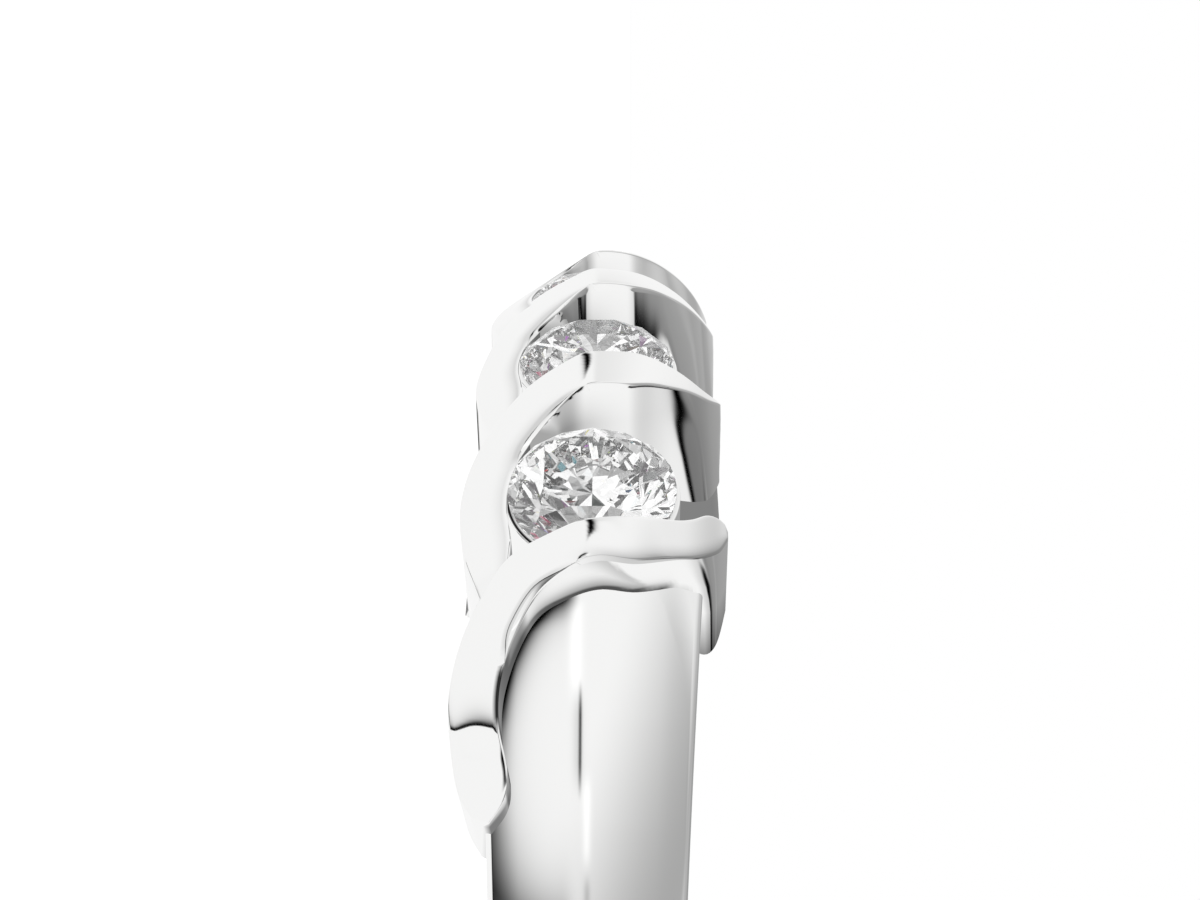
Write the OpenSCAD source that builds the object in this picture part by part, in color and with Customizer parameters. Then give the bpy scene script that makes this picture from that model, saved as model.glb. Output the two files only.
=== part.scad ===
// Swirl-bar diamond band: seven round stones between eight curved bars on a plain shank.
// The ring lies on its side. The finger hole runs along Z, with its middle at the origin, and
// the middle stone faces -Y. Bars and stones are numbered from the +X shoulder round to -X.

/* [Finger] */
// Inside diameter of the ring
finger_d = 17.3; // [16.9:0.1:17.7]

/* [Stones] */
// Diameter of each stone at its girdle
stone_d = 2.22; // [2.1:0.02:2.26]
// Angle between neighbouring stones, round the finger
stone_step = 15.55; // [15.4:0.05:15.8]
// Height of the crown over the girdle, as a share of the diameter
crown_share = 0.157; // [0.14:0.001:0.16]
// Depth of the pavilion under the girdle, as a share of the diameter
pavilion_share = 0.43; // [0.4:0.01:0.44]
// Width of the table, as a share of the diameter
table_share = 0.6; // [0.53:0.01:0.62]

/* [Head] */
// Height of the girdles over the finger hole
girdle_rise = 2.05; // [2:0.01:2.1]
// Width of the head along the finger
head_w = 3.6; // [3.56:0.02:3.7]
// Height of the bars' ridge over the girdles
bar_rise = 0.71; // [0.68:0.01:0.76]
// Clearance between a stone and the metal round it
seat_gap = 0.03; // [0.02:0.005:0.04]

/* [Shank] */
// Width of the shank where it meets the head
shoulder_w = 2.76; // [2.7:0.02:2.8]
// Width of the shank at the back of the finger
back_w = 1.96; // [1.9:0.02:2.1]
// Thickness of the shank at the back of the finger
back_t = 1.6; // [1.5:0.05:1.7]
// Thickness of the shank where it meets the head
shoulder_t = 1.84; // [1.8:0.02:1.9]

/* [Hidden] */

stone_count = 7;
finger_r = finger_d / 2;
stone_r = stone_d / 2;
girdle_r = finger_r + girdle_rise;
ridge_r = girdle_r + bar_rise;
floor_r = finger_r + 0.45;
cut_past = 0.5;
exact_fn = 96;

// The stone's own heights over its girdle plane, and the sizes of its facets
crown_h = crown_share * stone_d;
pavilion_h = pavilion_share * stone_d;
table_r = table_share * stone_r;
girdle_t = 0.07;
facet_count = 8;
half_facet = 180 / facet_count;
star_reach = 0.5;
lower_half_reach = 0.77;

// The cup that each stone sits in, and the open hole below its point
cup_wall = 0.11;
cup_over_girdle = 0.05;
cup_hole_r = 0.5;

// A bar seen from outside: how far across the finger (mm) and how far round it (degrees from
// the middle between two stones). The near edge faces the lower-numbered stone.
across = 0;
around = 1;
bar_near = [
  [ 1.79,  5.9], [ 1.65,  3.9], [ 1.48,  2.6], [ 1.12,  1.2], [ 0.63,  0.35], [ 0.20, -0.4],
  [-0.15, -1.4], [-0.41, -2.1], [-0.67, -3.1], [-0.92, -5.0], [-1.07, -7.4], [-1.09, -9.8],
  [-1.01, -13.0], [-1.07, -16.4]
];
bar_far = [
  [-1.36, -17.1], [-1.62, -13.2], [-1.77, -8.5], [-1.72, -4.8], [-1.53, -1.7], [-1.22,  1.1],
  [-0.88,  2.7], [-0.45,  3.2], [ 0.10,  3.2], [ 0.60,  3.6], [ 1.10,  3.5], [ 1.44,  3.6],
  [ 1.62,  4.3], [ 1.75,  5.5]
];
// The first bar has a paddle-shaped tail on the shank and a rounded right end
first_near = [
  [ 1.79,  5.7], [ 1.64,  3.3], [ 1.38,  1.5], [ 1.06,  0.5], [ 0.58, -0.4], [ 0.10, -0.4],
  [-0.35, -1.2], [-0.67, -2.3], [-0.91, -4.7], [-1.06, -7.7], [-1.05, -10.6], [-0.93, -13.4],
  [-0.97, -15.1], [-1.16, -16.5]
];
first_far = [
  [-1.38, -16.1], [-1.58, -14.2], [-1.70, -10.5], [-1.73, -7.2], [-1.58, -3.4], [-1.22,  0.4],
  [-0.93,  1.7], [-0.50,  2.2], [ 0.00,  2.5], [ 0.70,  3.1], [ 1.05,  3.5], [ 1.29,  4.3],
  [ 1.50,  5.6], [ 1.68,  6.4], [ 1.78,  6.5]
];
// A bar is cut along the radius that passes this far round from its middle
bar_lean = -5;

// The head's section: a round top, upright sides and rounded lower corners
top_r = 1.92;
top_centre_r = ridge_r - top_r;
lower_r = 2.05;
lower_centre_r = finger_r + 1.45;
// On the side of the long tails the round top gives way to these slopes: how far across, and
// how far under the ridge
side_slopes = [[-1.8, 1.06], [-0.9, 0.46], [-0.35, 0.13], [0.1, -0.03]];

function stone_angle(i) = (i - (stone_count + 1) / 2) * stone_step;
function bar_angle(k) = (k - stone_count / 2) * stone_step;
function dome_r(z) = min(
  top_centre_r + sqrt(pow(top_r, 2) - pow(z, 2)),
  ridge_r - lookup(z, side_slopes)
);

// A smooth line through the points p, with each stretch in equal parts
curve_parts = 3;
function curve_point(a, b, c, d, t) =
  0.5 * (2 * b + (c - a) * t + (2 * a - 5 * b + 4 * c - d) * t * t
    + (3 * b - a - 3 * c + d) * t * t * t);
function smooth_line(p) = [
  for (i = [0 : len(p) - 2], s = [0 : curve_parts - 1])
    curve_point(
      p[max(i - 1, 0)], p[i], p[i + 1], p[min(i + 2, len(p) - 1)], s / curve_parts
    ),
  p[len(p) - 1]
];

// A bar's outline, laid flat on the plane that the bar is cut square to
function flat_outline(near, far, lean) = [
  for (q = concat(smooth_line(near), smooth_line(far)))
    [q[across], dome_r(q[across]) * sin(q[around] - lean)]
];
// An outline turned half a turn about its own middle, for the far shoulder's tail
turn_shift = 3.1;
function turned(p) = [for (q = p) [-q[across], turn_shift - q[around]]];

// Places a child drawn round +Z, with +X along the finger and +Y round it towards the last
// stone, so that its +Z points outwards at this angle from the middle stone
module outward(angle) {
  rotate([0, 0, -angle]) rotate([90, 0, 0]) rotate([0, 0, 90]) children();
}

// The head's section, run round the finger
module head_envelope() {
  half_w = head_w / 2;
  low = finger_r - cut_past;
  high = ridge_r + cut_past;
  difference() {
    rotate_extrude($fn = exact_fn)
      intersection() {
        translate([top_centre_r, 0]) circle(r = top_r);
        translate([lower_centre_r, 0]) circle(r = lower_r);
        polygon(concat(
          [[low, -half_w]],
          [for (p = side_slopes) [ridge_r - p[1], max(p[0], -half_w)]],
          [[high, side_slopes[len(side_slopes) - 1][0]], [high, half_w], [low, half_w]]
        ));
      }
    cylinder(h = head_w + cut_past, r = finger_r, center = true, $fn = exact_fn);
  }
}

// A slab round the finger between two angles from the middle stone
module sector(from_angle, to_angle, h) {
  reach = 2 * ridge_r;
  steps = 4;
  linear_extrude(height = h, center = true)
    polygon(concat(
      [[0, 0]],
      [
        for (i = [0 : steps])
          let (a = -90 - from_angle - (to_angle - from_angle) * i / steps)
            [reach * cos(a), reach * sin(a)]
      ]
    ));
}

// Cuts an outline out along the radius this far round from the middle stone
module bar(angle) {
  base = floor_r - 0.6;
  outward(angle)
    translate([0, 0, base]) linear_extrude(height = ridge_r - base + 2 * cut_past)
      children();
}

module bars() {
  bar(bar_angle(0) + bar_lean) polygon(flat_outline(first_near, first_far, bar_lean));
  for (k = [1 : stone_count - 1])
    bar(bar_angle(k) + bar_lean) polygon(flat_outline(bar_near, bar_far, bar_lean));
  bar(bar_angle(stone_count)) {
    polygon(flat_outline(bar_near, bar_far, 0));
    polygon(flat_outline(turned(first_near), turned(first_far), 0));
  }
}

// The low floor that joins the bars, from the first one to the last
module head_floor() {
  intersection() {
    difference() {
      cylinder(h = head_w + cut_past, r = floor_r, center = true, $fn = exact_fn);
      cylinder(h = head_w + 2 * cut_past, r = finger_r - 0.1, center = true, $fn = exact_fn);
    }
    sector(bar_angle(0), bar_angle(stone_count) + turn_shift, head_w + cut_past);
  }
}

module cup(i) {
  base = floor_r - 0.3;
  outward(stone_angle(i))
    translate([0, 0, base])
      cylinder(
        h = girdle_r + cup_over_girdle - base,
        r = stone_r + seat_gap + cup_wall,
        $fn = exact_fn
      );
}

// The room that a stone takes up, with the clearance all round it and open above, and the
// hole below its point
module stone_room() {
  wide = stone_r + seat_gap;
  slope_gap = 1.4 * seat_gap;
  hole_end = finger_r - girdle_r - cut_past;
  rotate_extrude($fn = exact_fn)
    polygon([
      [0, hole_end],
      [cup_hole_r, hole_end],
      [cup_hole_r, -girdle_t / 2 - pavilion_h * (1 - cup_hole_r / stone_r) - slope_gap],
      [wide, -girdle_t / 2 - slope_gap],
      [wide, girdle_t / 2 + slope_gap],
      [table_r + seat_gap, girdle_t / 2 + crown_h + slope_gap],
      [table_r + seat_gap, bar_rise + cut_past],
      [0, bar_rise + cut_past]
    ]);
}

// Half the shank's width at a place along Y: widest at the head, narrowing to the back
back_y = finger_r + back_t;
shoulder_y = -girdle_r * 0.5;
function shank_half_w(y) =
  back_w / 2 + (shoulder_w - back_w) / 2
    * pow(min(1.15, (back_y - y) / (back_y - shoulder_y)), 3);

// The shank is round outside, a little off the finger's middle so that it thins to the back
shank_dome_r = 2.6;
module shank() {
  shift = (shoulder_t - back_t) / 1.6;
  outer_r = finger_r + back_t + shift;
  side_steps = 16;
  ys = [for (i = [0 : side_steps]) -ridge_r + i * (2 * ridge_r + 0.2) / side_steps];
  intersection() {
    difference() {
      translate([0, -shift, 0])
        rotate_extrude($fn = exact_fn)
          intersection() {
            translate([outer_r - shank_dome_r, 0]) circle(r = shank_dome_r);
            translate([finger_r - 1, -head_w / 2]) square([back_t + 2, head_w]);
          }
      cylinder(h = head_w + cut_past, r = finger_r, center = true, $fn = exact_fn);
    }
    rotate([90, 0, 90])
      linear_extrude(height = 3 * ridge_r, center = true)
        polygon(concat(
          [for (y = ys) [y, shank_half_w(y)]],
          [for (i = [side_steps : -1 : 0]) [ys[i], -shank_half_w(ys[i])]]
        ));
    sector(bar_angle(stone_count) + turn_shift, bar_angle(0) + 360, head_w);
  }
}

// The hole for the finger eases outwards at both sides
ease_start = 0.8;
ease_r = 2.4;
module finger_edges() {
  for (side = [-1, 1])
    rotate_extrude($fn = exact_fn)
      difference() {
        translate([finger_r - 1, side > 0 ? ease_start : -ease_start - ease_r])
          square([1 + 0.55, ease_r]);
        translate([finger_r + ease_r, side * ease_start]) circle(r = ease_r);
      }
}

module band() {
  color("gainsboro")
    difference() {
      union() {
        shank();
        intersection() {
          head_envelope();
          union() {
            head_floor();
            bars();
            for (i = [1 : stone_count]) cup(i);
          }
        }
      }
      finger_edges();
      for (i = [1 : stone_count]) at_stone(i) stone_room();
    }
}

// Places a child drawn at a girdle's middle in its stone's place
module at_stone(i) {
  outward(stone_angle(i)) translate([0, 0, girdle_r]) children();
}

// A ring of a stone's corners, the first one this far round from its edge across the finger
function corner_ring(count, r, z, first_angle) = [
  for (k = [0 : count - 1])
    let (a = first_angle + k * 360 / count) [r * cos(a), r * sin(a), z]
];

// A round brilliant about its girdle's middle: table, stars, kites, halves, girdle, pavilion
module brilliant() {
  n = facet_count;
  top_z = girdle_t / 2 + crown_h;
  table_mid_r = table_r * cos(half_facet);
  star_r = (table_mid_r + star_reach * (stone_r - table_mid_r)) / cos(half_facet);
  star_z = girdle_t / 2
    + crown_h * (stone_r - star_r * cos(half_facet)) / (stone_r - table_r);
  low_r = stone_r * (1 - lower_half_reach) / cos(half_facet);
  low_z = -girdle_t / 2 - pavilion_h * lower_half_reach;
  points = concat(
    corner_ring(n, table_r, top_z, half_facet),
    corner_ring(n, star_r, star_z, 2 * half_facet),
    corner_ring(2 * n, stone_r, girdle_t / 2, half_facet),
    corner_ring(2 * n, stone_r, -girdle_t / 2, half_facet),
    corner_ring(n, low_r, low_z, 2 * half_facet),
    [[0, 0, -girdle_t / 2 - pavilion_h]]
  );
  table = [for (k = [0 : n - 1]) k];
  star = [for (k = [0 : n - 1]) n + k];
  upper = [for (k = [0 : 2 * n]) 2 * n + k % (2 * n)];
  lower = [for (k = [0 : 2 * n]) 4 * n + k % (2 * n)];
  low = [for (k = [0 : n - 1]) 6 * n + k];
  point = 7 * n;
  outside = concat(
    [table],
    [for (k = [0 : n - 1]) [table[k], star[k], table[(k + 1) % n]]],
    [for (k = [0 : n - 1]) [table[k], star[(k + n - 1) % n], upper[2 * k], star[k]]],
    [for (k = [0 : n - 1]) [star[k], upper[2 * k], upper[2 * k + 1]]],
    [for (k = [0 : n - 1]) [star[k], upper[2 * k + 1], upper[2 * k + 2]]],
    [for (j = [0 : 2 * n - 1]) [upper[j], lower[j], lower[j + 1], upper[j + 1]]],
    [for (k = [0 : n - 1]) [low[k], lower[2 * k + 1], lower[2 * k]]],
    [for (k = [0 : n - 1]) [low[k], lower[2 * k + 2], lower[2 * k + 1]]],
    [for (k = [0 : n - 1]) [point, low[k], lower[2 * k], low[(k + n - 1) % n]]]
  );
  polyhedron(points, [for (f = outside) [for (i = [len(f) - 1 : -1 : 0]) f[i]]]);
}

module stone(i) {
  color("azure") at_stone(i) brilliant();
}

band();
stone(1);  // stone_1
stone(2);  // stone_2
stone(3);  // stone_3
stone(4);  // stone_4
stone(5);  // stone_5
stone(6);  // stone_6
stone(7);  // stone_7
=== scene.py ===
import math
import bpy
from mathutils import Matrix, Vector


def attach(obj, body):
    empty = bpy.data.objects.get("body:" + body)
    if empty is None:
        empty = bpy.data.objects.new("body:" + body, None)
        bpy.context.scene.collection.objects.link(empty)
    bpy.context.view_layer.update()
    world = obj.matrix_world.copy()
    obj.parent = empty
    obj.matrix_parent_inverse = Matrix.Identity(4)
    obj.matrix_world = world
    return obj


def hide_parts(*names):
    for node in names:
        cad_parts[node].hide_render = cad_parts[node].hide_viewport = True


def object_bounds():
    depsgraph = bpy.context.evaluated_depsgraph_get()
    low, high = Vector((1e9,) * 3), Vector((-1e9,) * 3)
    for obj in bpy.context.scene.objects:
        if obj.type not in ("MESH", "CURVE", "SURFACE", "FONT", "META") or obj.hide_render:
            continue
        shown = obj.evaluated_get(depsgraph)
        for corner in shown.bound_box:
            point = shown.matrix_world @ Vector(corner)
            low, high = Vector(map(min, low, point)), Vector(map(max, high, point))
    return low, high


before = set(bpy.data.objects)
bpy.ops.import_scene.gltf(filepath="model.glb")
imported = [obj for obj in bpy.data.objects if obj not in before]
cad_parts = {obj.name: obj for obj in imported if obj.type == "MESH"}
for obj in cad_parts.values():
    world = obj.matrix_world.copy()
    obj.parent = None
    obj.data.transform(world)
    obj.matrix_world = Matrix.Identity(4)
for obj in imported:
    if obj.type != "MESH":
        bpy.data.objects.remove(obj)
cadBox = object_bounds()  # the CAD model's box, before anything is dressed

mm = 0.001
print("frame loaded:", len(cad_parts), "nodes")

# the ring's own sizes in mm and degrees, as in the part's source
ring = {
    "stoneCount": 7,
    "step": 15.55,  # degrees between stones
    "fingerR": 8.65,
    "girdleR": 10.70,
    "ridgeR": 11.41,
    "floorR": 8.95,
    "topR": 1.92,  # radius of the round top across the head
    "lowerR": 1.95,  # radius of the lower corners of the head's section
    "lowerMidR": 9.60,
    "turnShift": 3.1,  # the last tail is the first bar's, turned half a turn about half this angle
    "halfWidth": 1.80,
    "easeStart": 0.8,  # the finger hole's wall is straight this far from its middle
    "easeR": 3.2,
}


def stoneAngle(i):
    return (i - (ring["stoneCount"] + 1) / 2) * ring["step"]


def barAngle(k):
    return (k - ring["stoneCount"] / 2) * ring["step"]


def ringPoint(across, angle, out, along=0.0):  # mm round the finger to metres in the frame
    a = math.radians(angle)
    return Vector((
        (-math.sin(a) * out - math.cos(a) * along) * mm,
        (-math.cos(a) * out + math.sin(a) * along) * mm,
        across * mm,
    ))


def toStone(p, angle):  # a point as seen from the stone at that angle: mm across, along and out
    a = math.radians(angle)
    x, y = p[0] / mm, p[1] / mm
    return p[2] / mm, -math.cos(a) * x + math.sin(a) * y, -math.sin(a) * x - math.cos(a) * y


def mix(a, b, t):
    return a + (b - a) * t


def smooth(low, high, x):
    t = min(1.0, max(0.0, (x - low) / (high - low)))
    return t * t * (3 - 2 * t)


def evenSteps(start, end, steps):
    return [mix(start, end, n / steps) for n in range(steps + 1)]


# the camera, as the photograph was taken
cameraLook = {
    "turn": 75.44,  # degrees from the middle stone round to the shoulder in front
    "lift": 14.97,
    "yaw": -1.40,
    "distance": 30.709,
    "across": 0.639,
    "focal": 50.124,
    "sensor": 36,
    "clip": (0.001, 5),
}


def makeCamera(look):
    turn, lift, yaw = (math.radians(look[name]) for name in ("turn", "lift", "yaw"))
    right = Vector((0, 0, 1))
    away = Vector((-math.sin(turn), math.cos(turn), 0))
    up = Vector((-math.cos(turn), -math.sin(turn), 0))
    lifted = away * math.cos(lift) + up * math.sin(lift)
    top = up * math.cos(lift) - away * math.sin(lift)
    forward = lifted * math.cos(yaw) + right * math.sin(yaw)
    side = right * math.cos(yaw) - lifted * math.sin(yaw)
    bpy.ops.object.camera_add()
    camera = bpy.context.object
    camera.name = "photoCamera"
    camera.data.sensor_width = look["sensor"]
    camera.data.lens = look["focal"]
    camera.data.clip_start, camera.data.clip_end = look["clip"]
    place = Matrix((side, top, -forward)).transposed().to_4x4()
    place.translation = (right * look["across"] - away * look["distance"]) * mm
    camera.matrix_world = place
    bpy.context.scene.camera = camera
    return side, top, -forward


studioAxes = makeCamera(cameraLook)  # the lights stand where the photographer's did: to the right, above, in front
print("camera placed")


class Value:  # a socket that can be added, multiplied and so on
    def __init__(self, tree, socket):
        self.tree, self.socket = tree, socket

    def node(self, kind, settings=None, **inputs):  # sockets by name, or by number as i0, i1 and so on
        made = self.tree.nodes.new(kind)
        for name, setting in (settings or {}).items():
            if name == "stops":
                ramp = made.color_ramp
                while len(ramp.elements) < len(setting):
                    ramp.elements.new(0.5)
                for element, (place, shade) in zip(ramp.elements, setting):
                    element.position, element.color = place, (shade, shade, shade, 1)
            else:
                setattr(made, name, setting)
        for name, given in inputs.items():
            wanted = name.replace("_", " ").lower()
            byNumber = name[0] == "i" and name[1:].isdigit()
            socket = made.inputs[int(name[1:])] if byNumber else next(
                s for s in made.inputs if s.enabled and s.name.lower() == wanted)
            if isinstance(given, Value):
                self.tree.links.new(given.socket, socket)
            else:
                socket.default_value = given
        return made

    def maths(self, operation, *others):
        made = self.node("ShaderNodeMath", {"operation": operation},
                         **{f"i{n}": v for n, v in enumerate((self, *others))})
        return Value(self.tree, made.outputs[0])

    def flipped(self, operation, other):
        made = self.node("ShaderNodeMath", {"operation": operation}, i0=other, i1=self)
        return Value(self.tree, made.outputs[0])

    def __add__(self, other): return self.maths("ADD", other)
    def __radd__(self, other): return self.flipped("ADD", other)
    def __sub__(self, other): return self.maths("SUBTRACT", other)
    def __rsub__(self, other): return self.flipped("SUBTRACT", other)
    def __mul__(self, other): return self.maths("MULTIPLY", other)
    def __rmul__(self, other): return self.flipped("MULTIPLY", other)
    def __pow__(self, other): return self.maths("POWER", other)

    def step(self, low, high):  # 0 at low, 1 at high, eased between them
        made = self.node("ShaderNodeMapRange", {"interpolation_type": "SMOOTHSTEP"}, Value=self)
        made.inputs["From Min"].default_value, made.inputs["From Max"].default_value = low, high
        return Value(self.tree, made.outputs["Result"])

    def bell(self, middle, width):  # 1 at the middle, falling away on both sides
        far = (self - middle) * (1 / width)
        return (far * far * -1).maths("EXPONENT")


def newMaterial(name):
    material = bpy.data.materials.new(name)
    material.use_nodes = True
    tree = material.node_tree
    tree.nodes.clear()
    output = tree.nodes.new("ShaderNodeOutputMaterial")
    place = tree.nodes.new("ShaderNodeTexCoord")
    return material, tree, output, Value(tree, place.outputs["Object"])


metalLook = {
    "color": (0.96, 0.96, 0.955, 1),
    "recess": (0.004, 0.004, 0.004, 1),  # painted shade: mixed into the colour in corners, creases and under bars and stones
    "roughness": 0.035,
    "wipes": 0.03,  # how much the polish varies, in marks of about a millimetre
    "wipeScale": 900.0,
    "wipeDetail": 3.0,
}


def polishedMetal(look):
    material, tree, output, place = newMaterial("polishedWhiteGold")
    cloud = place.node("ShaderNodeTexNoise", Vector=place, Scale=look["wipeScale"], Detail=look["wipeDetail"])
    wipe = Value(tree, cloud.outputs[0])
    # the painted shade attribute darkens the metal's colour towards near black
    recess = Value(tree, place.node("ShaderNodeAttribute", {"attribute_name": "recess"}).outputs["Fac"])
    color = place.node("ShaderNodeMix", {"data_type": "RGBA"}, i0=recess, i6=look["color"], i7=look["recess"])
    shader = place.node("ShaderNodeBsdfPrincipled", Base_Color=Value(tree, color.outputs["Result"]), Metallic=1.0,
                        Roughness=wipe * look["wipes"] + (look["roughness"] - look["wipes"] / 2))
    tree.links.new(shader.outputs[0], output.inputs[0])
    return material


diamondLook = {"bend": 2.418}


def diamondMaterial(look):
    material, tree, output, place = newMaterial("clearDiamond")
    clearStone = place.node("ShaderNodeBsdfGlass", Color=(1, 1, 1, 1), Roughness=0.0, IOR=look["bend"])
    # the metal mirrors the lights and not the stones beside it
    path = tree.nodes.new("ShaderNodeLightPath")
    firstTurn = Value(tree, path.outputs["Ray Depth"]).maths("LESS_THAN", 1.5)
    mirrored = Value(tree, path.outputs["Is Reflection Ray"]) * firstTurn
    clear = tree.nodes.new("ShaderNodeBsdfTransparent")
    mixed = mirrored.node("ShaderNodeMixShader", i0=mirrored)
    tree.links.new(clearStone.outputs[0], mixed.inputs[1])
    tree.links.new(clear.outputs[0], mixed.inputs[2])
    tree.links.new(mixed.outputs[0], output.inputs[0])
    return material


metal = polishedMetal(metalLook)
diamond = diamondMaterial(diamondLook)
print("metal and diamond ready")


def deselect():
    if bpy.context.object and bpy.context.object.mode != "OBJECT":
        bpy.ops.object.mode_set(mode="OBJECT")
    bpy.ops.object.select_all(action="DESELECT")


def tidyNormals():
    bpy.ops.object.mode_set(mode="EDIT")
    bpy.ops.mesh.select_all(action="SELECT")
    bpy.ops.mesh.remove_doubles(threshold=1e-8)
    bpy.ops.mesh.normals_make_consistent(inside=False)
    bpy.ops.object.mode_set(mode="OBJECT")


def tubeOf(name, sections, paintedShades):  # a sphere drawn out into a closed tube through these sections
    deselect()
    points, rings = len(sections[0]), len(sections)
    bpy.ops.mesh.primitive_uv_sphere_add(segments=points, ring_count=rings + 1, radius=1)
    piece = bpy.context.object
    piece.name = piece.data.name = name
    # painted shade per point, kept as an attribute that darkens the metal's colour
    recess = piece.data.attributes.new("recess", "FLOAT", "POINT")
    for v in piece.data.vertices:
        row = round(math.acos(max(-1.0, min(1.0, v.co.z))) / math.pi * (rings + 1)) - 1
        if row < 0 or row >= rings:
            end = sections[0 if row < 0 else -1]
            v.co = sum(end, Vector()) / points
        else:  # the sphere's segments start a quarter turn round
            turn = round((math.atan2(v.co.y, v.co.x) / (2 * math.pi) - 0.25) * points) % points
            v.co = sections[row][turn]
            recess.data[v.index].value = paintedShades[row][turn]
    tidyNormals()
    return piece


def ringOf(name, sections):  # a torus shaped into a closed ring through these sections
    deselect()
    points, rings = len(sections[0]), len(sections)
    bpy.ops.mesh.primitive_torus_add(major_segments=rings, minor_segments=points, major_radius=2, minor_radius=1)
    piece = bpy.context.object
    piece.name = piece.data.name = name
    for v in piece.data.vertices:
        row = round(math.atan2(v.co.y, v.co.x) / (2 * math.pi) * rings) % rings
        turn = round(math.atan2(v.co.z, math.hypot(v.co.x, v.co.y) - 2) / (2 * math.pi) * points) % points
        v.co = sections[row][turn]
    tidyNormals()
    return piece


def shadeWhere(piece, isShaded, amount):  # paints shade into the colour through the painted shade attribute, where the metal lies in shade
    shade = piece.data.attributes.new("recess", "FLOAT", "POINT")
    for v in piece.data.vertices:
        if isShaded(v.co):
            shade.data[v.index].value = amount


def smoothShade(piece, degrees=35):
    deselect()
    piece.select_set(True)
    bpy.context.view_layer.objects.active = piece
    bpy.ops.object.shade_smooth_by_angle(angle=math.radians(degrees))


def dress(piece, material, slotName, *nodes):
    piece.data.materials.clear()
    piece.data.materials.append(material)
    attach(piece, "root")
    piece.visible_glossy = slotName != "polished_metal"
    if nodes:
        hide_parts(*nodes)


def rounded(corner, before, after, reach, steps=4):  # a corner eased over this reach on both sides
    a, b = (before - corner), (after - corner)
    a = corner + a.normalized() * min(reach * mm, a.length * 0.45)
    b = corner + b.normalized() * min(reach * mm, b.length * 0.45)
    return [(a * (1 - s) ** 2 + corner * 2 * s * (1 - s) + b * s ** 2)
            for s in (n / steps for n in range(steps + 1))]


# the head's form
slope = {  # the long flat slope on the tails' side
    "steep": 0.64,
    "start": -0.13,
    "soft": 0.05,
    "roundTo": -0.3,  # the round top ends here
    "roundShare": 0.9,
}


def domeR(x):  # the head's outer surface across the finger
    roundDrop = ring["topR"] - math.sqrt(max(0.0, ring["topR"] ** 2 - x * x))
    bend = slope["soft"] * math.log(1 + math.exp((slope["start"] - x) / slope["soft"]))
    slopeDrop = slope["steep"] * bend
    if x < slope["roundTo"]:
        drops = (slopeDrop, roundDrop * slope["roundShare"])
        return ring["ridgeR"] - slope["soft"] * math.log(sum(math.exp(drop / slope["soft"]) for drop in drops))
    return ring["ridgeR"] - slopeDrop - roundDrop * min(1.0, max(0.0, 1 - x / slope["roundTo"]))


def lowerHalf(r):  # half the head's width low down, where its corners are round
    if r >= ring["lowerMidR"]:
        return ring["halfWidth"]
    return min(ring["halfWidth"], math.sqrt(max(0.0, ring["lowerR"] ** 2 - (ring["lowerMidR"] - r) ** 2)))


def easeOut(x):  # how far the finger hole's wall has eased outwards at this place across
    reach = max(0.0, abs(x) - ring["easeStart"])
    return ring["easeR"] - math.sqrt(ring["easeR"] ** 2 - reach * reach)


# the ring's body: the shank and the low floor under the head
shank = {
    "shoulderHalf": 1.38,
    "shoulderY": -5.35,
    "backHalf": 0.98,
    "backY": 10.25,
    "middleR": 10.2,
    "widest": 1.15,
    "outerR": 10.40,
    "shift": 0.15,  # the outside is round about a point this far towards the head
    "domeR": 2.6,
    "edge": 0.10,
    "headFrom": 2.8,  # degrees from the outer bars' middles to the shank
    "wallHalf": 1.45,
    "floorDrop": (0.12, 1.0, 1.7),  # the floor falls this much between these places
    "sides": 18,
    "rows": 720,
}
hole = {"radius": 0.53, "middleR": 8.9, "deep": 1.4, "sides": 48}
floorShade = {"amount": 0.75, "reach": 0.14}


def shankHalf(y):
    share = (shank["backY"] - y) / (shank["backY"] - shank["shoulderY"])
    return mix(shank["backHalf"], shank["shoulderHalf"], min(shank["widest"], share) ** 3)


def shankOut(x, angle):
    a = math.radians(angle)
    r = shank["outerR"] - shank["domeR"] + math.sqrt(shank["domeR"] ** 2 - x * x)
    return math.sqrt(max(0.0, r * r - (shank["shift"] * math.sin(a)) ** 2)) + shank["shift"] * math.cos(a)


def bodySection(angle):
    if barAngle(0) + shank["headFrom"] < angle < barAngle(ring["stoneCount"]) - shank["headFrom"] + ring["turnShift"]:
        top = ring["floorR"]
        half = lowerHalf(top) - 0.01
        lowHalf = lowerHalf(ring["fingerR"] + easeOut(shank["wallHalf"]))
        drop, dropFrom, dropTo = shank["floorDrop"]
        outer = [(x, top - drop * smooth(dropFrom, dropTo, abs(x))) for x in evenSteps(half, -half, shank["sides"])]
    else:
        half = lowHalf = shankHalf(-math.cos(math.radians(angle)) * shank["middleR"])
        outer = [(x, shankOut(x, angle)) for x in evenSteps(half, -half, shank["sides"])]
    inner = [(x, ring["fingerR"] + easeOut(x)) for x in evenSteps(-lowHalf, lowHalf, shank["sides"])]
    outer, inner = ([Vector((x, r, 0)) * mm for x, r in line] for line in (outer, inner))
    section = rounded(outer[0], inner[-1], outer[3], shank["edge"]) + outer[2:-2]
    section += rounded(outer[-1], outer[-4], inner[0], shank["edge"])
    section += rounded(inner[0], outer[-1], inner[3], shank["edge"]) + inner[2:-2]
    section += rounded(inner[-1], inner[-4], outer[0], shank["edge"])
    return [ringPoint(p.x / mm, angle, p.y / mm) for p in section]


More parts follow.
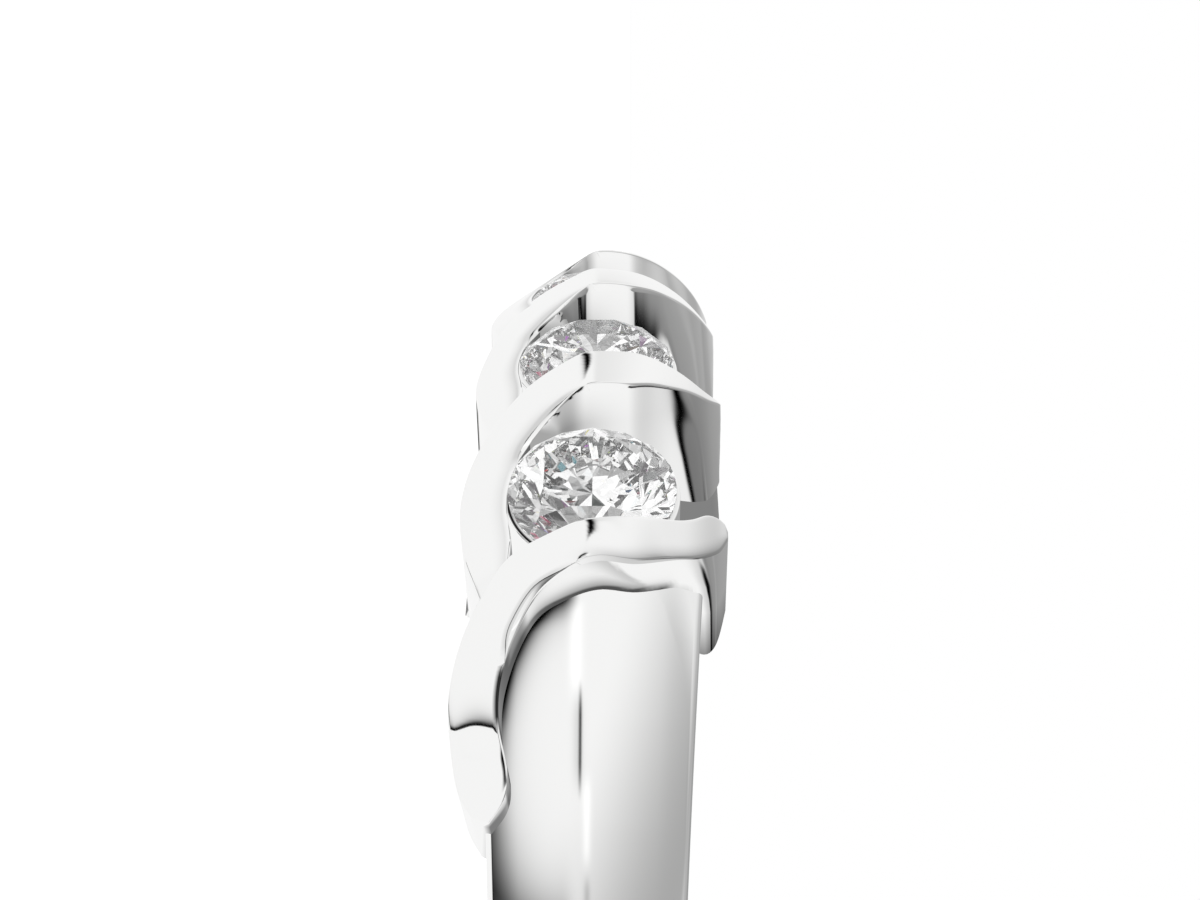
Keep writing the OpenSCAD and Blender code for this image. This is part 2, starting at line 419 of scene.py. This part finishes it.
def drillHole(piece, angle):  # the open hole under a stone
    bpy.ops.mesh.primitive_cylinder_add(
        vertices=hole["sides"], radius=hole["radius"] * mm, depth=hole["deep"] * mm,
        location=ringPoint(0, angle, hole["middleR"]), rotation=(math.pi / 2, 0, -math.radians(angle)))
    drill = bpy.context.object
    cutting = piece.modifiers.new("hole", "BOOLEAN")
    cutting.object, cutting.operation, cutting.solver = drill, "DIFFERENCE", "EXACT"
    bpy.context.view_layer.objects.active = piece
    bpy.ops.object.modifier_apply(modifier="hole")
    bpy.data.objects.remove(drill)


body = ringOf("ringBody", [bodySection(n * 360 / shank["rows"] - 180) for n in range(shank["rows"])])
for i in range(1, ring["stoneCount"] + 1):
    drillHole(body, stoneAngle(i))
# the low floor beside the stones lies in the bars' shade
shadeWhere(body, lambda p: abs(math.hypot(p.x, p.y) / mm - ring["floorR"]) < floorShade["reach"], floorShade["amount"])
smoothShade(body)
dress(body, metal, "polished_metal", "band")
print("ring body made")

# swirl bars: each edge seen from outside, in mm across the finger and degrees from the middle between two stones
barEdges = {
    "flare": 0.074,  # the wall's right half widens this much per mm of depth
    "toe": (0.12, 0.90, 1.60),  # the right end's wall leans out this far per mm of depth, between these places
    "near": [(1.79, 5.9), (1.65, 3.9), (1.48, 2.6), (1.12, 1.15), (0.80, 0.30), (0.50, -0.45), (0.20, -0.70),
             (-0.15, -0.95), (-0.38, -1.60), (-0.67, -3.1), (-0.92, -5.0), (-1.07, -7.4), (-1.09, -9.8),
             (-1.01, -13.0), (-1.07, -16.4)],
    "far": [(1.79, 6.0), (1.75, 5.5), (1.62, 4.3), (1.44, 3.6), (1.10, 3.5), (0.60, 3.6), (0.10, 3.2), (-0.45, 3.2),
            (-0.88, 2.7), (-1.22, 1.1), (-1.53, -1.7), (-1.72, -4.8), (-1.77, -8.5), (-1.62, -13.2),
            (-1.36, -17.1)],
}
firstEdges = {
    "flare": 0.0,
    "toe": (0.44, 1.05, 1.75),
    "near": [(1.79, 5.7), (1.64, 3.3), (1.38, 1.5), (1.06, 0.5), (0.58, -0.4), (0.10, -0.4),
             (-0.35, -1.2), (-0.67, -2.3), (-0.91, -4.7), (-1.06, -7.7), (-1.05, -10.6), (-0.93, -13.4),
             (-0.97, -15.1), (-1.16, -16.5)],
    "far": [(1.79, 6.3), (1.74, 6.6), (1.68, 6.4), (1.50, 5.6), (1.29, 4.3), (1.05, 3.5), (0.70, 3.1), (0.00, 2.5),
            (-0.50, 2.2), (-0.93, 1.7), (-1.22, 0.4), (-1.58, -3.4), (-1.73, -7.2), (-1.70, -10.5),
            (-1.58, -14.2), (-1.38, -16.1)],
}
thirdWider = {-0.45: 1.4, -0.88: 2.8, -1.22: 3.2, -1.53: 2.0}  # degrees added to the third bar's far edge
barShape = {
    "rows": 96,
    "rim": 0.04,
    "seatR": 1.15,  # where a bar's wall closes on a stone
    "kneeR": 10.70,  # down to here a wall turns towards the stone's seat, and below it goes straight in
    "kneeDrop": 0.25,
    "wallShares": (0.0, 0.03, 0.06, 0.09, 0.12, 0.2, 0.5, 1.0),
    "upperShares": (0.12, 0.25, 0.4, 0.6, 0.8),
    "topShares": (0.805, 0.81, 0.815, 0.82, 0.825),
    "flareAt": (0.6, 1.2),
    "seatAt": (104, 128),  # degrees round a stone between which a wall takes up and leaves its seat
    "seatTo": (188, 205),
    "seatWider": (125, 160),  # a wall runs straight past the stone up to here, and goes round it from there
    "farSeatTo": (0.95, 1.2),  # mm across the finger
    "into": 0.05,  # the walls stop this far outside the finger hole
    "dive": (0.16, 0.86, 1.04),  # the tail's end goes down this far, between these shares of its length
    "hollow": 0.08,  # a long tail's top is hollowed across by this, and comes level again
    "hollowAt": (0.68, 0.8),
    "hollowTo": (0.82, 0.88),
    "flat": 0.13,  # it then slopes down this steeply, from a line that bows towards the tip at its edges
    "flatFrom": 0.805,
    "flatArch": 0.022,
    "bevel": 0.11,  # width of the narrow flat along a tail's inner edge, between these degrees
    "bevelAt": (92, 122),
    "bevelTo": (142, 168),
}


def evenLine(points, count):  # a smooth line through points, at even steps of its length
    fine, mmPerDegree = 12, 0.195
    dense = []
    for i in range(len(points) - 1):
        a, b, c, d = (Vector(points[min(max(j, 0), len(points) - 1)]) for j in (i - 1, i, i + 1, i + 2))
        for t in (s / fine for s in range(fine)):
            bend = (2 * a - 5 * b + 4 * c - d) * t * t + (3 * b - a - 3 * c + d) * t ** 3
            dense.append(0.5 * (2 * b + (c - a) * t + bend))
    dense.append(Vector(points[-1]))
    size = lambda q: Vector((q[0], q[1] * mmPerDegree))
    lengths = [0.0]
    for p, q in zip(dense, dense[1:]):
        lengths.append(lengths[-1] + (size(q) - size(p)).length)
    line, j = [], 0
    for n in range(count):
        want = lengths[-1] * n / (count - 1)
        while j < len(lengths) - 2 and lengths[j + 1] < want:
            j += 1
        t = (want - lengths[j]) / max(1e-9, lengths[j + 1] - lengths[j])
        line.append(dense[j].lerp(dense[j + 1], t))
    return line


def fromAxis(rho, theta, out, at):  # a place round the axis that points out at this angle
    x, y = rho * math.cos(theta), rho * math.sin(theta)
    r = math.hypot(out, y)
    half = lowerHalf(r)
    return ringPoint(max(-half, min(half, x)), at + math.degrees(math.atan2(y, out)), r)


def roundAxis(p, at):
    x, y, z = toStone(p, at)
    theta = math.atan2(y, x)
    return math.hypot(x, y), theta + (2 * math.pi if theta < -math.pi / 2 else 0), z


def barWall(start, look, seatAt, seat, toe):  # from an edge down: first towards the stone's seat, then straight in
    lean, side = look["lean"], look["side"]
    rho, theta, out = roundAxis(start, lean)
    bend = fromAxis(rho, theta, min(barShape["kneeR"], out - barShape["kneeDrop"]), lean)
    if seat > 0:
        seatTheta = roundAxis(start, seatAt)[1]
        turn = math.degrees(seatTheta)
        first, last = barShape["seatWider"]
        wider = mix(1 / max(math.sin(seatTheta), 0.8), 1, smooth(first, last, turn)) if 90 < turn < last else 1
        bend = bend.lerp(fromAxis(barShape["seatR"] * wider, seatTheta, barShape["kneeR"], seatAt), seat)
    across, along, out = toStone(bend, lean)
    top = toStone(start, lean)[2]
    low = ring["fingerR"] + easeOut(across) + barShape["into"]
    line = []
    for share in barShape["wallShares"]:
        deep = mix(out, low, share)
        away = along - side * toe[0] * (top - deep)  # the toe comes out away from the bar
        wide = across + side * toe[1] * (top - deep)
        line.append(fromAxis(math.hypot(wide, away), math.atan2(away, wide), deep, lean))
    return line


# shade painted into the bars' colour, where walls lie in shade by the stones, along the crease and at the shank
wallShade = {
    "byStone": (0.58, 11.35, 0.65, 1.6),  # most, from this radius, over this depth, and how fast it comes
    "stoneSide": (0.9, -0.7, 0.5),  # less of it towards the right
    "shankAngle": 57,
    "foot": (0.97, 0.08, 0.12, 0.07, 0.08),  # most, its height and softness, each with what the left adds
    "footLeft": (-0.4, -1.1),
    "footRight": (0.9, 1.15),
    "crease": (0.20, 11.35, 0.69),  # a slanting line across the wall
    "creaseSoft": (-0.03, 0.05),
    "shadow": (0.72, 0.40, 0.28),  # most at the foot and along the crease, and its softness
    "shut": (0.97, 150, 163),  # the narrow wall beside the shank is shut in by the tail
    "shutTo": (201, 212),
    "rimShut": (160, 175),
    "slopeAt": (96, 130),  # the edge's own shade on the tail's slope
    "underAt": (70, 100),  # and under the bar's other end
}


def paintedShadeAt(p, byStone):  # how much painted shade a wall gets at this point: low down by a stone, or where it meets the shank
    r, across = math.hypot(p.x, p.y) / mm, p.z / mm
    if byStone:
        most, fromR, deep, power = wallShade["byStone"]
        less, lessFrom, lessTo = wallShade["stoneSide"]
        return most * min(1.0, max(0.0, (fromR - r) / deep)) ** power * (1 - less * smooth(lessFrom, lessTo, across))
    above = max(0.0, r - shankOut(across, wallShade["shankAngle"]) - 0.02)
    place, fromR, slant = wallShade["crease"]
    crease = place + (fromR - r) * slant - across
    atFoot, atCrease, soft = wallShade["shadow"]
    shadow = max(atFoot * math.exp(-(above / soft) ** 2), atCrease * math.exp(-(crease / soft) ** 2))
    shadow *= smooth(*wallShade["creaseSoft"], crease)
    left = smooth(*wallShade["footLeft"], across) if across < wallShade["footLeft"][0] else 0.0
    most, high, addHigh, fade, addFade = wallShade["foot"]
    foot = most * math.exp(-max(0.0, above - high - addHigh * left) / (fade + addFade * left))
    return max(foot * (1 - smooth(*wallShade["footRight"], across)), shadow)


def barSections(edges, look):  # loops round the bar, measured from its own middle angle, and how much painted shade they get
    near, far = (evenLine(edges[name], barShape["rows"]) for name in ("near", "far"))
    nearAt, farAt = -ring["step"] / 2, ring["step"] / 2
    side, nearStone = look["side"], look["nearStone"]
    long = 0.0 if nearStone else 1.0
    rim = barShape["rim"]
    sections, paintedShades = [], []
    for n, (a, b) in enumerate(zip(near, far)):
        share = n / (barShape["rows"] - 1)
        dive = barShape["dive"][0] * smooth(*barShape["dive"][1:], share)
        onTop = lambda p: ringPoint(p.z / mm, math.degrees(math.atan2(-p.x, -p.y)), domeR(p.z / mm) - dive)
        nearTop, farTop = (ringPoint(q[0], q[1], domeR(q[0]) - dive) for q in (a, b))
        rho, theta, edgeOut = roundAxis(nearTop, nearAt)
        deg = math.degrees(theta)
        # the bevel under the inner edge, on the tails' side
        bevel = smooth(*barShape["bevelAt"], deg) * (1 - smooth(*barShape["bevelTo"], deg)) if look["bevelled"] else 0.0
        if bevel > 0:
            nearTop = onTop(fromAxis(rho + barShape["bevel"] * bevel, theta, edgeOut, nearAt))
            edge = fromAxis(rho, theta, roundAxis(nearTop, nearAt)[2] - 0.01 * bevel, nearAt)
        # the long tails are a little hollow, and flat at the end
        lift = long * barShape["hollow"] * max(0.0, share - barShape["hollowAt"][0])
        lift *= smooth(*barShape["hollowAt"], share) * (1 - smooth(*barShape["hollowTo"], share))
        flat = lambda c: long * barShape["flat"] * max(0.0, share - barShape["flatFrom"] - barShape["flatArch"] * c * c)
        raised = lambda p, c: p * (1 + (lift * c * c - flat(c)) * mm / math.hypot(p.x, p.y))
        inner = [raised(onTop(nearTop.lerp(farTop, j / 16)), j / 8 - 1) for j in range(1, 16)]
        nearTop, farTop = raised(nearTop, -1), raised(farTop, 1)
        edge = edge if bevel > 0 else nearTop
        # the walls down both sides
        toe = lambda x: (edges["toe"][0] * smooth(*edges["toe"][1:], side * x),
                         edges["flare"] * smooth(*barShape["flareAt"], side * x))
        seatNear = smooth(*barShape["seatAt"], deg) * (1 - smooth(*barShape["seatTo"], deg)) if nearStone else 0.0
        seatFar = 1 - smooth(*barShape["farSeatTo"], abs(b[0])) if look["farStone"] else 0.0
        nearWall = barWall(edge, look, nearAt, seatNear, toe(a[0]) if side > 0 else (0.0, 0.0))
        farWall = barWall(farTop, look, farAt, seatFar, toe(b[0]) if side < 0 else (0.0, 0.0))
        section = nearWall[::-1] + [nearWall[0].lerp(edge, t) for t in barShape["upperShares"]]
        most, *shutAt = wallShade["shut"]
        shut = long * most * smooth(*shutAt, deg) * (1 - smooth(*wallShade["shutTo"], deg))
        onSlope = look["edgeShade"] * smooth(*wallShade["slopeAt"], deg)
        under = look["underShade"] * (1 - smooth(*wallShade["underAt"], deg))
        # painted shade on the walls, the tails' edges and the bevel's upper edge
        recess = [max(shut, paintedShadeAt(p, nearStone)) for p in section]
        if bevel > 0.02:
            section += rounded(edge, nearWall[0], nearTop, min(rim * 0.6, bevel * 0.1), 3) + [edge.lerp(nearTop, 0.7)]
            section += rounded(nearTop, edge, inner[1], min(rim, bevel * 0.1))
            recess += [0.0] * 5 + [look["line"] * min(1.0, bevel * 2)] * 5
        else:
            section += [nearWall[0].lerp(edge, t) for t in barShape["topShares"]]
            section += rounded(nearTop, nearWall[0], inner[1], rim)
            recess += [max(under, shut * smooth(*wallShade["rimShut"], deg))] * 10
        section += inner[1:-1] + rounded(farTop, inner[-2], farWall[0], rim)
        section += [farTop.lerp(farWall[0], 0.5)] + farWall
        recess += [max(onSlope * max(0.0, 1 - j / 6) ** 2, under * max(0.0, 1 - j / 5) ** 2) for j in range(1, 15)]
        sections.append(section)
        paintedShades.append(recess + [0.0] * (len(section) - len(recess)))
    return sections, paintedShades


plainBar = {
    "nearStone": True,  # its near wall closes on a stone
    "farStone": True,
    "lean": -5.0,  # the walls run parallel to the radius at this angle from the bar's middle
    "bevelled": True,
    "side": 1,  # the side that the toe is on
    "edgeShade": 0.2,
    "underShade": 0.0,
    "line": 0.3,  # how much painted shade darkens the bevel's upper edge, from 0 to 1 as the two above
}


def makeBar(name, edges, angle, **changes):
    place = Matrix.Rotation(-math.radians(angle), 3, "Z")
    sections, paintedShades = barSections(edges, dict(plainBar, **changes))
    bar = tubeOf(name, [[place @ p for p in section] for section in sections], paintedShades)
    smoothShade(bar)
    dress(bar, metal, "polished_metal", "band")


makeBar("bar_1", firstEdges, barAngle(0), nearStone=False, edgeShade=0.0, underShade=0.35, line=0.2)
thirdEdges = dict(barEdges, far=[(x, a + thirdWider.get(x, 0.0)) for x, a in barEdges["far"]])
for k in range(1, ring["stoneCount"] + 1):
    makeBar(f"bar_{k + 1}", thirdEdges if k == 2 else barEdges, barAngle(k), farStone=k < ring["stoneCount"],
            edgeShade=plainBar["edgeShade"] * min(k, 3))
halfTurn = lambda edge: [(-x, ring["turnShift"] - a) for x, a in edge]
lastEdges = dict(firstEdges, near=halfTurn(firstEdges["far"]), far=halfTurn(firstEdges["near"]))
makeBar("lastTail", lastEdges, barAngle(ring["stoneCount"]), nearStone=False, farStone=False, lean=0.0,
        bevelled=False, side=-1)
print("bars made")

# brilliant-cut stones, cut facet by facet
cut = {
    "across": 2.22,
    "crown": 0.157,  # shares of the width
    "pavilion": 0.43,
    "table": 0.60,
    "girdle": 0.07,
    "star": 0.5,
    "lower": 0.77,
    "sides": 96,
    "rough": (2.4, -0.3),  # height and middle of the piece that a stone is cut from
}


def facetPlanes():  # three points of each facet, in mm about the girdle's middle
    r, edge = cut["across"] / 2, cut["girdle"] / 2
    crown, pavilion = cut["crown"] * cut["across"], cut["pavilion"] * cut["across"]
    tableR, turnCos = cut["table"] * r, math.cos(math.radians(22.5))
    starR = (tableR * turnCos + cut["star"] * (r - tableR * turnCos)) / turnCos
    starZ = edge + crown * (r - starR * turnCos) / (r - tableR)
    lowR, lowZ = r * (1 - cut["lower"]) / turnCos, -edge - pavilion * cut["lower"]
    at = lambda far, turn, z: Vector((far * math.cos(math.radians(turn)), far * math.sin(math.radians(turn)), z))
    planes = [[at(1, 0, edge + crown), at(1, 120, edge + crown), at(1, 240, edge + crown)]]
    for turn in range(0, 360, 45):
        table, nextTable = at(tableR, turn + 22.5, edge + crown), at(tableR, turn + 67.5, edge + crown)
        star = at(starR, turn + 45, starZ)
        low, lastLow = at(lowR, turn + 45, lowZ), at(lowR, turn, lowZ)
        rim, keel = ([at(r, turn + 22.5 * j, z) for j in (1, 2, 3)] for z in (edge, -edge))
        planes += [[table, nextTable, star], [table, star, rim[0]], [star, rim[0], rim[1]], [star, rim[1], rim[2]],
                   [low, keel[0], keel[1]], [low, keel[1], keel[2]], [at(0, 0, -edge - pavilion), low, lastLow]]
    return planes


def cutStone(name):
    deselect()
    high, middle = cut["rough"]
    bpy.ops.mesh.primitive_cylinder_add(vertices=cut["sides"], radius=cut["across"] / 2, depth=high,
                                        location=(0, 0, middle))
    stone = bpy.context.object
    stone.name = stone.data.name = name
    bpy.ops.object.transform_apply(location=True, rotation=True, scale=True)
    bpy.ops.object.mode_set(mode="EDIT")
    for a, b, c in facetPlanes():
        away = (b - a).cross(c - a).normalized()
        if away.dot(a - Vector((0, 0, -0.1))) < 0:
            away = -away
        bpy.ops.mesh.select_all(action="SELECT")
        bpy.ops.mesh.bisect(plane_co=a, plane_no=away, use_fill=True, clear_outer=True, threshold=1e-6)
    bpy.ops.mesh.select_all(action="SELECT")
    bpy.ops.mesh.remove_doubles(threshold=1e-5)
    bpy.ops.mesh.normals_make_consistent(inside=False)
    bpy.ops.object.mode_set(mode="OBJECT")
    return stone


# cups that the stones sit in
cup = {
    "outside": 1.16,
    "inside": 1.06,
    "over": -0.10,
    "cone": -0.13,
    "edge": 0.02,
    "hole": 0.50,
    "deep": 2.02,
    "sides": 96,
    "shade": 0.75,
}


def cupSection(turn):
    cone = cup["cone"] - cut["pavilion"] * 2 * (cup["inside"] - cup["hole"])
    corners = [(cup["outside"], -cup["deep"]), (cup["outside"], cup["over"]), (cup["inside"], cup["over"]),
               (cup["inside"], cup["cone"]), (cup["hole"], cone), (cup["hole"], -cup["deep"])]
    corners = [Vector((r, high, 0)) * mm for r, high in corners]
    loop = []
    for n, corner in enumerate(corners):
        loop += rounded(corner, corners[n - 1], corners[(n + 1) % 6], cup["edge"], 3)
    return [Vector((p.x * math.cos(turn), p.x * math.sin(turn), p.y)) for p in loop]


def toSeat(angle, unit=1.0):  # from a stone's own place, in mm or in metres, to its place on the ring
    middle = ringPoint(0, angle, ring["girdleR"])
    x, y, z = (p / unit for p in (ringPoint(1, angle, 0), ringPoint(0, angle, 0, 1), ringPoint(0, angle, 1)))
    return Matrix.Translation(middle) @ Matrix((x, y, z)).transposed().to_4x4()


for i in range(1, ring["stoneCount"] + 1):
    seat = ringOf(f"cup_{i}", [cupSection(2 * math.pi * n / cup["sides"]) for n in range(cup["sides"])])
    # painted shade under the stone, inside the cup
    shadeWhere(seat, lambda p: math.hypot(p.x, p.y) < (cup["inside"] + 0.01) * mm, cup["shade"])
    seat.data.transform(toSeat(stoneAngle(i), mm))
    smoothShade(seat)
    dress(seat, metal, "polished_metal", "band")
print("cups made")

pattern = cutStone("brilliant")
for i in range(1, ring["stoneCount"] + 1):
    stone = pattern.copy()
    stone.data = pattern.data.copy()
    stone.name = stone.data.name = f"brilliant_{i}"
    bpy.context.collection.objects.link(stone)
    stone.data.transform(toSeat(stoneAngle(i)))
    dress(stone, diamond, "diamond", f"stone_{i}")
bpy.data.objects.remove(pattern)
print("stones cut")

floorLook = {"size": 0.6, "color": (0.9, 0.9, 0.9, 1), "roughness": 0.6, "glow": 0.62}


def layFloor(look):
    deselect()
    bpy.ops.mesh.primitive_plane_add(size=look["size"], location=(0, 0, cadBox[0].z))
    floor = bpy.context.object
    floor.name = "paleFloor"
    material, tree, output, place = newMaterial("paleFloorPaint")
    shader = place.node("ShaderNodeBsdfPrincipled", Base_Color=look["color"], Roughness=look["roughness"],
                        Emission_Color=(1, 1, 1, 1), Emission_Strength=look["glow"])
    tree.links.new(shader.outputs[0], output.inputs[0])
    floor.data.materials.append(material)
    floor.visible_glossy = False


layFloor(floorLook)
print("floor laid")

# The studio is drawn by direction: x to the right, y up and z in front of the ring, each from -1 to 1.
# Two numbers in brackets are where a light or card starts and where it is whole, or, for a narrow one, its middle
# and width. A third in front of them is how much it does. Shades are as they look on screen.
screenPower = 2.2
softLight = {
    "white": 0.975,
    "frontFall": 0.31,  # the light falls off this much to the right and downwards
    "frontTilt": (0.55, 0.75, 0.9),
    "frontAt": (0.15, 1.0),
    "frontZ": (0.0, 0.3),
    "frontY": (-0.1, 0.1),
    "sideFall": 0.30,
    "sideX": (0.30, 1.0),
    "sideY": (0.75, 0.05),
    "topFall": 0.06,
    "topLamp": (0.42, 0.25),
    "topX": (-0.15, 0.0),
    "topY": (0.5, 0.75),
    "topZ": (0.28, 0.24),
}


def over(value):
    return value.maths("MAXIMUM", 0.0)


def softLightShade(look, x, y, z):
    right, down, high = look["frontTilt"]
    front = (x * right + (high - y) * down).step(*look["frontAt"]) * z.step(*look["frontZ"]) * y.step(*look["frontY"])
    side = x.step(*look["sideX"]) * y.step(*look["sideY"]) * look["sideFall"]
    top = (1 - x.bell(*look["topLamp"])) * y.step(*look["topY"]) * x.step(*look["topX"]) * z.step(*look["topZ"])
    return look["white"] - (front * look["frontFall"]).maths("MAXIMUM", side) - top * look["topFall"]


greyCard = {  # behind and overhead, with a dark border
    "grey": 0.59,
    "lighterUp": 0.2,
    "lighterFront": (0.08, 0.05, 0.25),
    "lighterRight": (0.06, 0.85, 0.95),
    "lighterInside": 0.06,
    "edgeX": 0.71,
    "bow": (2, -0.39),  # the edge bows in below this
    "notch": (0.30, -0.09, 0.12),
    "notchEnd": (0.42, 0.12, 0.16),
    "slant": 1.04,
    "soft": 0.012,
    "y": (0.16, -0.06),
    "z": (0.60, 0.54),
    "backOpening": {"z": (-0.48, -0.56), "y": (-0.42, -0.50)},
    "lowOpening": {"z": (-0.68, -0.73), "y": (-0.26, -0.34)},
    "sideOpening": {"z": (-0.12, -0.17), "zTo": (-0.40, -0.35), "x": (0.82, 0.77)},
    "border": (-0.005, 0.035),
    "borderThin": (0.10, 0.20),
    "borderY": (-0.02, -0.25),
    "borderZ": (0.47, 0.41),
    "borderDark": 0.98,
}


def withGreyCard(shade, look, x, y, z):
    low = over(look["bow"][1] - z)
    notch, notchEnd = (z.step(*look[name][1:]) * look[name][0] for name in ("notch", "notchEnd"))
    edge = (look["edgeX"] - low * low * look["bow"][0] - notch + notchEnd).maths("MINIMUM", look["slant"] - z)
    inside = x - edge
    back, below, beside = (look[name] for name in ("backOpening", "lowOpening", "sideOpening"))
    openings = (z.step(*back["z"]) * y.step(*back["y"])).maths("MAXIMUM", z.step(*below["z"]) * y.step(*below["y"]))
    openings = openings.maths("MAXIMUM", z.step(*beside["z"]) * z.step(*beside["zTo"]) * x.step(*beside["x"]))
    here = y.step(*look["y"]) * z.step(*look["z"]) * (1 - openings)
    card = inside.step(-look["soft"], look["soft"]) * here
    front, right = (axis.step(*look[name][1:]) * look[name][0]
                    for axis, name in ((z, "lighterFront"), (x, "lighterRight")))
    grey = look["grey"] + y * look["lighterUp"] + front + inside.maths("MINIMUM", look["lighterInside"]) + right
    border = (inside * (1 + z.step(*look["borderThin"]))).bell(*look["border"])
    border = border * y.step(*look["borderY"]) * here * z.step(*look["borderZ"])
    return (shade * (1 - card) + grey * card) * (1 - border * look["borderDark"])


blackStrip = {  # thin, hung in front to the left, with a soft dark to its right
    "tilt": 0.17,
    "z": 0.445,
    "width": 0.035,
    "soft": 0.024,
    "softHigh": (0.12, 1.6),
    "x": (-0.12, -0.30),
    "xTo": (-0.955, -0.92),
    "y": (-0.05, 0.08),
}
stripEnd = {  # the same strip's end, seen in the long tails
    "tilt": 0.42,
    "y": 0.315,
    "wide": 0.009,
    "soft": 0.015,
    "start": (-0.004, 0.0),
    "z": (0.20, 0.17),
    "x": (-0.80, -0.86),
}
darkEdge = {"dark": 0.7, "x": (-0.19, 0.06), "y": (0.0, 0.04), "z": (-0.965, -0.98)}  # far behind, low


def darkStrips(x, y, z):
    look = blackStrip
    past = z - x * look["tilt"] - look["z"]
    least, power = look["softHigh"]
    soft = (over(past) * y.maths("MAXIMUM", least) ** power * (-1 / look["soft"])).maths("EXPONENT")
    flag = soft * past.maths("MINIMUM", 0.0).bell(0.0, look["width"])
    flag = flag * x.step(*look["x"]) * x.step(*look["xTo"]) * y.step(*look["y"])
    look = stripEnd
    past = y - z * look["tilt"] - look["y"]
    end = (over(past - look["wide"]) * (-1 / look["soft"])).maths("EXPONENT")
    end = end * past.step(*look["start"]) * z.step(*look["z"]) * x.step(*look["x"])
    look = darkEdge
    behind = z.step(*look["z"]) * y.bell(*look["y"]) * x.bell(*look["x"]) * look["dark"]
    return (1 - flag) * (1 - end) * (1 - behind)


seams = {  # between the lights, straight overhead and in front
    "overhead": {"dark": 0.97, "tilt": 0.27, "x": (-0.165, 0.08), "y": (0.7, 0.8), "back": (-0.33, -0.38),
                 "middle": (-0.02, 0.03), "middleTo": (0.315, 0.295)},
    "frontZ": (0.3, 0.4),
    "gap": {"wide": (-0.145, 0.05), "wideDark": 0.10, "fine": (-0.125, 0.014), "fineDark": 0.6,
            "y": (0.76, 0.68), "yTo": (0.47, 0.58)},
    "lowGap": {"dark": 0.12, "x": (-0.05, 0.03), "y": (0.30, 0.24), "yTo": (0.08, 0.14)},
    "tube": {"light": 0.08, "x": (-0.17, 0.06), "y": (0.66, 0.78), "z": (0.42, 0.46)},
    "lowTube": {"light": 0.09, "x": (-0.055, 0.04), "y": (0.57, 0.48), "yTo": (0.28, 0.36)},
}


def overheadSeam(x, y, z):
    look = seams["overhead"]
    along = z.step(*look["back"]) + z.step(*look["middle"]) * z.step(*look["middleTo"])
    return 1 - (x - z * look["tilt"]).bell(*look["x"]) * y.step(*look["y"]) * along * look["dark"]


def frontSeams(x, y, z):  # fine dark gaps and light tubes
    front = z.step(*seams["frontZ"])
    look = seams["gap"]
    gap = x.bell(*look["wide"]) * look["wideDark"] + x.bell(*look["fine"]) * look["fineDark"]
    gap = gap * y.step(*look["y"]) * y.step(*look["yTo"]) * front
    look = seams["lowGap"]
    lowGap = x.bell(*look["x"]) * y.step(*look["y"]) * y.step(*look["yTo"]) * look["dark"] * front
    look = seams["tube"]
    tube = x.bell(*look["x"]) * y.step(*look["y"]) * z.step(*look["z"]) * look["light"]
    look = seams["lowTube"]
    lowTube = x.bell(*look["x"]) * y.step(*look["y"]) * y.step(*look["yTo"]) * look["light"] * front
    return tube + lowTube - gap - lowGap


smallLamps = {  # many, with gaps between them, for the stones' sparkle
    "scale": 4.5,
    "levels": ((0.0, 0.01), (0.11, 0.01), (0.14, 0.10), (0.26, 0.21), (0.50, 0.43), (0.75, 0.61), (1.0, 0.78)),
    "tinted": (0.74, 0.76),
    "tint": 0.9,
}


def smallLampLight(look, around):
    tree = around.tree
    lamps = around.node("ShaderNodeTexVoronoi", Vector=around, Scale=look["scale"], Randomness=1.0)
    parts = around.node("ShaderNodeSeparateColor", Color=Value(tree, lamps.outputs["Color"]))
    lamp, hue, rare = (Value(tree, parts.outputs[n]) for n in range(3))
    level = lamp.node("ShaderNodeValToRGB", {"stops": look["levels"]}, Fac=lamp)
    tint = hue.node("ShaderNodeCombineColor", {"mode": "HSV"}, i0=hue, i1=rare.step(*look["tinted"]) * look["tint"],
                    i2=1.0)
    light = lamp.node("ShaderNodeMix", {"data_type": "RGBA", "blend_type": "MULTIPLY"}, i0=1.0,
                      i6=Value(tree, level.outputs[0]), i7=Value(tree, tint.outputs[0]))
    return Value(tree, light.outputs["Result"])


def lightStudio(axes):
    world = bpy.data.worlds.new("softStudio")
    bpy.context.scene.world = world
    world.use_nodes = True
    tree = world.node_tree
    tree.nodes.clear()
    around = Value(tree, tree.nodes.new("ShaderNodeTexCoord").outputs["Generated"])
    x, y, z = (Value(tree, around.node("ShaderNodeVectorMath", {"operation": "DOT_PRODUCT"}, i0=around, i1=axis)
                     .outputs["Value"]) for axis in axes)
    shade = withGreyCard(softLightShade(softLight, x, y, z), greyCard, x, y, z)
    shade = shade * darkStrips(x, y, z) * overheadSeam(x, y, z) + frontSeams(x, y, z)
    path = tree.nodes.new("ShaderNodeLightPath")
    seen, throughStone = (Value(tree, path.outputs[name]) for name in ("Is Camera Ray", "Is Transmission Ray"))
    shade = (over(shade) ** screenPower) * (1 - seen) + seen  # plain white behind the ring
    light = shade.node("ShaderNodeMix", {"data_type": "RGBA"}, i0=throughStone, i6=shade,
                       i7=smallLampLight(smallLamps, around))
    background = shade.node("ShaderNodeBackground", Color=Value(tree, light.outputs["Result"]), Strength=1.0)
    output = tree.nodes.new("ShaderNodeOutputWorld")
    tree.links.new(background.outputs[0], output.inputs[0])


lightStudio(studioAxes)
print("studio lit")
bpy.context.scene.view_settings.view_transform = "Standard"
rays = bpy.context.scene.cycles  # light turns round many times inside a stone
rays.max_bounces, rays.glossy_bounces, rays.transmission_bounces = 40, 32, 32
